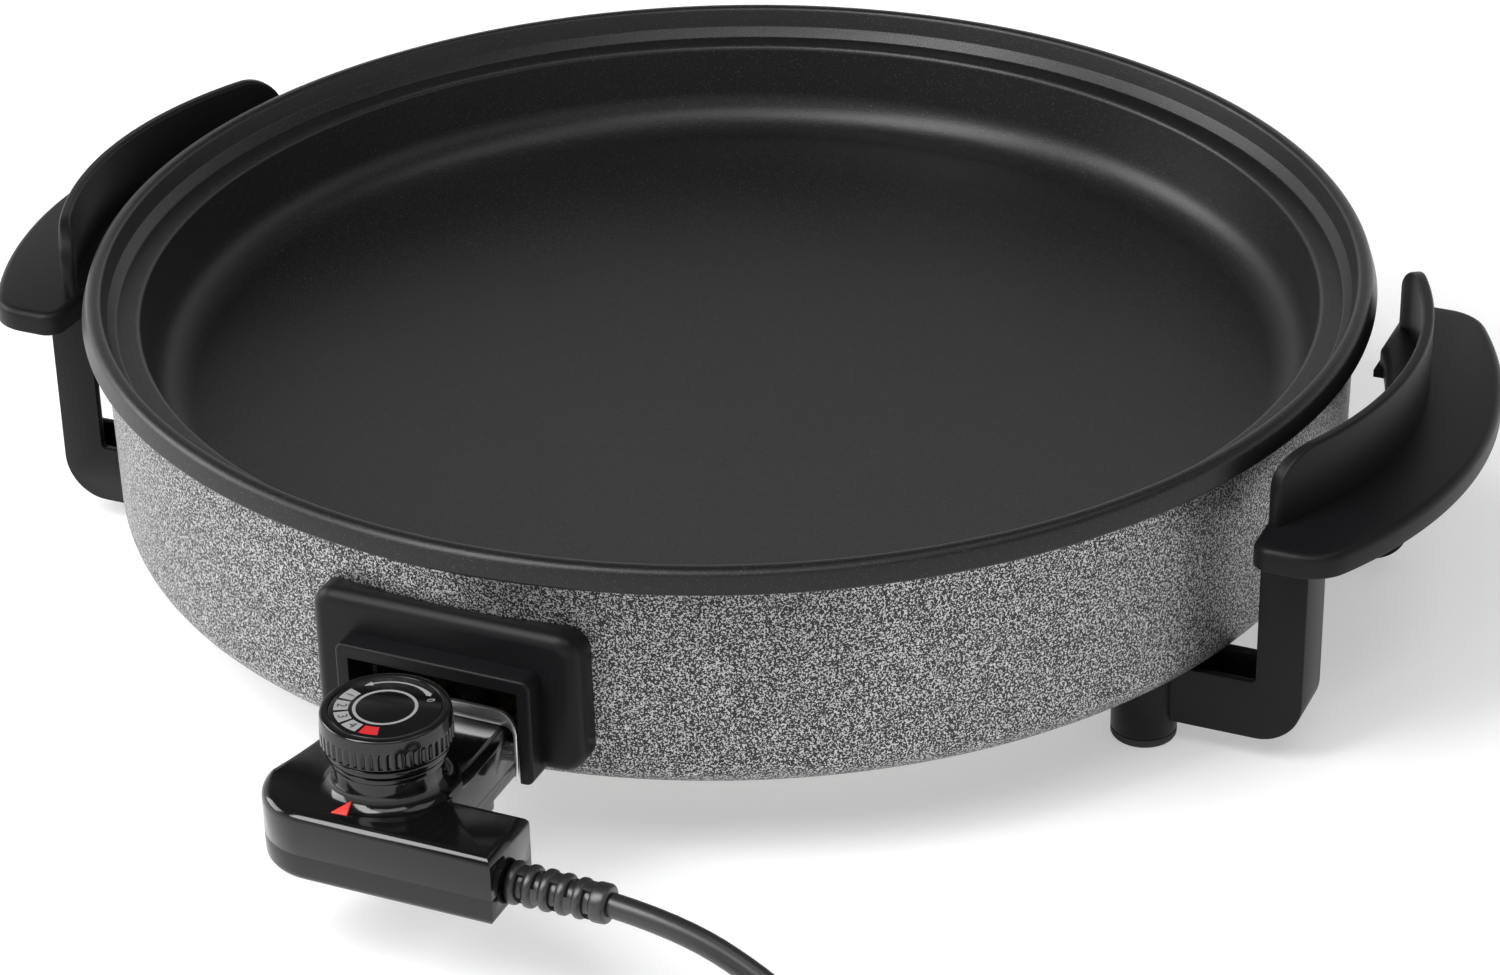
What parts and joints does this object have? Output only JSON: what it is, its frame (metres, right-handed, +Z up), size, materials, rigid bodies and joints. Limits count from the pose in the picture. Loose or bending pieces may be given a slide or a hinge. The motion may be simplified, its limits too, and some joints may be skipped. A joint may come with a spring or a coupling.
{
  "type": "electric skillet",
  "caption": "Round electric skillet with crescent grips, moulded legs and a plug-in thermostat probe whose corded housing pulls out of a guarded front socket.",
  "frame": {"origin": "on the table, under the middle of the footprint from the thermostat's front face to the back of the rim; the pan's own axis stands 32.5 mm behind it", "axes": "+Z up out of the bowl, +X towards the right grip, -Y towards the thermostat at the front"},
  "size_m": [0.49, 0.5655, 0.1055],
  "materials": {
    "nonstick_casting": "charcoal non-stick coating with fine bright flecks on a die-cast aluminium pan",
    "hammertone_enamel": "grey enamel with a fine black speckle",
    "plated_steel": "zinc plated",
    "element_sheath": "heat-stained sheath",
    "probe_steel": "ground stainless",
    "contact_brass": "bright contact metal",
    "plug_metal": "nickel plated",
    "steatite": "unglazed ceramic",
    "matt_bakelite": "matt phenolic moulding with a fine grain",
    "gloss_housing": "glossy black moulding",
    "pointer_red": "red pointer",
    "dial_print": "printed dial with light grey and red marks",
    "cord_rubber": "smooth black cord sheath",
    "foot_rubber": "soft foot pad"
  },
  "bodies": {
    "skillet": {"pan_casting": "nonstick_casting", "outer_shell": "hammertone_enamel", "base_plate": "plated_steel", "base_stud": "plated_steel", "base_nut": "plated_steel", "heating_element": "element_sheath", "element_clips": "plated_steel", "clip_nuts": "plated_steel", "terminal_block": "steatite", "terminal_pins": "contact_brass", "terminal_bracket": "plated_steel", "socket_guard": "matt_bakelite", "guard_screws": "plated_steel", "grip_left": "matt_bakelite", "grip_right": "matt_bakelite", "leg_front_left": "matt_bakelite", "leg_rear_left": "matt_bakelite", "leg_front_right": "matt_bakelite", "leg_rear_right": "matt_bakelite", "foot_pad_front_left": "foot_rubber", "foot_pad_rear_left": "foot_rubber", "foot_pad_front_right": "foot_rubber", "foot_pad_rear_right": "foot_rubber", "leg_screws": "plated_steel", "leg_nuts": "plated_steel", "grip_screws": "plated_steel"},
    "thermostat": {"thermostat_top": "gloss_housing", "thermostat_base": "gloss_housing", "neck_band": "probe_steel", "case_screws": "plated_steel", "pointer_lens": "pointer_red", "switch_block": "steatite", "probe_rod": "probe_steel", "contact_sleeves": "contact_brass", "strain_relief": "cord_rubber", "cord": "cord_rubber", "cord_coil": "cord_rubber", "plug_relief": "cord_rubber", "plug_body": "cord_rubber", "plug_pins": "plug_metal", "plug_earth_clips": "plug_metal"},
    "knob": {"control_knob": "gloss_housing", "knob_dial": "dial_print", "knob_shaft": "probe_steel"}
  },
  "joints": [
    {"name": "probe_slide", "type": "slide", "parent": "skillet", "child": "thermostat", "axis": [0, -1, 0], "range_m": [0, 0.1]},
    {"name": "dial_turn", "type": "hinge", "parent": "thermostat", "child": "knob", "pos_m": [0.0045, -0.2105, 0.0695], "axis": [0, 0, 1], "range_deg": [-30, 210]}
  ]
}
